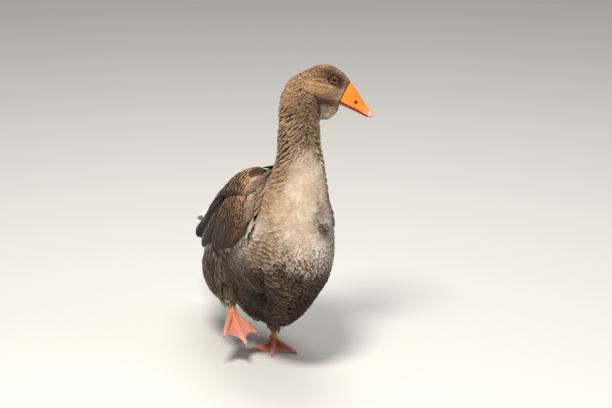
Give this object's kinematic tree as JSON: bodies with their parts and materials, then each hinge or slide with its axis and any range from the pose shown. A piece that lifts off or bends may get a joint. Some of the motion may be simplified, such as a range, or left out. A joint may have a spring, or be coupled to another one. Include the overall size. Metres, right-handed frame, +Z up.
{
  "type": "domestic goose",
  "caption": "Life-size standing grey goose with head turned, folded wings, double-lobed paunch and webbed feet, one foot lifted in a step.",
  "frame": {"origin": "on the floor, under the middle of the bounding box", "axes": "+Z up, -Y the way the goose walks, +X its left side"},
  "size_m": [0.2638, 0.5781, 0.6283],
  "materials": {
    "plumage": "matte feathers",
    "wing": "matte feathers",
    "tail": "matte feathers",
    "bill": "satin horn",
    "eye": "glossy",
    "leg_skin": "scaled skin",
    "claw": "horn"
  },
  "bodies": {
    "root": {"torso": "plumage", "neck": "plumage", "head": "plumage", "tail": "tail", "bill_upper": "bill", "bill_lower": "bill", "eye_left": "eye", "eye_right": "eye", "wing_left": "wing", "wing_right": "wing", "thigh_left": "plumage", "thigh_right": "plumage", "shank_left": "leg_skin", "shank_right": "leg_skin", "foot_left": "leg_skin", "foot_right": "leg_skin", "claw_left_inner": "claw", "claw_left_middle": "claw", "claw_left_outer": "claw", "claw_left_hind": "claw", "claw_right_inner": "claw", "claw_right_middle": "claw", "claw_right_outer": "claw", "claw_right_hind": "claw"}
  },
  "joints": []
}
